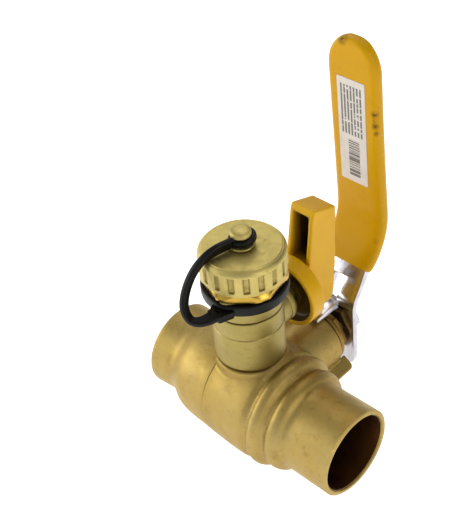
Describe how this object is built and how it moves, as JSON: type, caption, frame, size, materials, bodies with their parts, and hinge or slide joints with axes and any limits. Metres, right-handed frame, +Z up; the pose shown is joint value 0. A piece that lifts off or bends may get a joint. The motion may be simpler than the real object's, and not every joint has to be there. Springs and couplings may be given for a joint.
{
  "type": "ball valve with side drain",
  "caption": "Forged brass lever-operated ball valve with solder cups and a side drain: a small ball valve, hose thread and screwed cap held by a rubber strap.",
  "frame": {"origin": "centre of the main ball, on the pipe axis", "axes": "+X along the pipe towards the cup next to the rings, +Y out along the main stem towards its lever, +Z up the drain; both levers stand upright at rest"},
  "size_m": [0.0849, 0.0902, 0.1383],
  "materials": {
    "forged_brass": "sand-blasted forged brass, matte",
    "turned_brass": "turned brass, satin",
    "chromed_brass": "polished chrome on brass",
    "seat_plastic": "white sealing plastic",
    "zinc_steel": "bright zinc plate",
    "yellow_vinyl": "dipped vinyl, slightly soft gloss",
    "yellow_paint": "powder-coated die casting",
    "label_stock": "blank matte label",
    "black_rubber": "semi-gloss black rubber"
  },
  "bodies": {
    "valve": {"valve_body": "forged_brass", "end_piece": "forged_brass", "body_seal": "seat_plastic", "main_seat_near": "seat_plastic", "main_seat_far": "seat_plastic", "main_thrust_washer": "seat_plastic", "main_packing": "seat_plastic", "main_packing_nut": "turned_brass", "drain_body": "turned_brass", "drain_seat_lower": "seat_plastic", "drain_seat_upper": "seat_plastic", "drain_thrust_washer": "seat_plastic", "drain_adapter": "turned_brass", "strap_ring": "black_rubber", "strap_tail": "black_rubber"},
    "main_lever": {"main_ball": "chromed_brass", "main_stem": "turned_brass", "main_handle": "zinc_steel", "main_grip": "yellow_vinyl", "grip_label": "label_stock", "main_lock_washer": "zinc_steel", "main_handle_nut": "zinc_steel"},
    "drain_lever": {"drain_ball": "chromed_brass", "drain_stem": "turned_brass", "drain_stem_oring": "black_rubber", "drain_handle": "yellow_paint", "drain_handle_screw": "zinc_steel"},
    "strap_end": {"strap_loop": "black_rubber"},
    "cap": {"hose_cap": "turned_brass", "cap_washer": "black_rubber", "cap_rivet": "turned_brass"}
  },
  "joints": [
    {"name": "main_lever_turn", "type": "hinge", "parent": "valve", "child": "main_lever", "pos_m": [0, 0, 0], "axis": [0, 1, 0], "range_deg": [0, 90]},
    {"name": "drain_lever_turn", "type": "hinge", "parent": "valve", "child": "drain_lever", "pos_m": [0, 0, 0.0333], "axis": [0, 1, 0], "range_deg": [0, 90]},
    {"name": "cap_lift", "type": "slide", "parent": "valve", "child": "strap_end", "axis": [0, 0, 1], "range_m": [0, 0.0056], "deforming": ["strap_tail"]},
    {"name": "cap_turn", "type": "hinge", "parent": "strap_end", "child": "cap", "pos_m": [0, 0, 0.063], "axis": [0, 0, 1], "range_deg": [0, 895]}
  ],
  "couplings": [
    {"joint": "cap_lift", "follows": "cap_turn", "m_per_rad": 0.00035152}
  ]
}
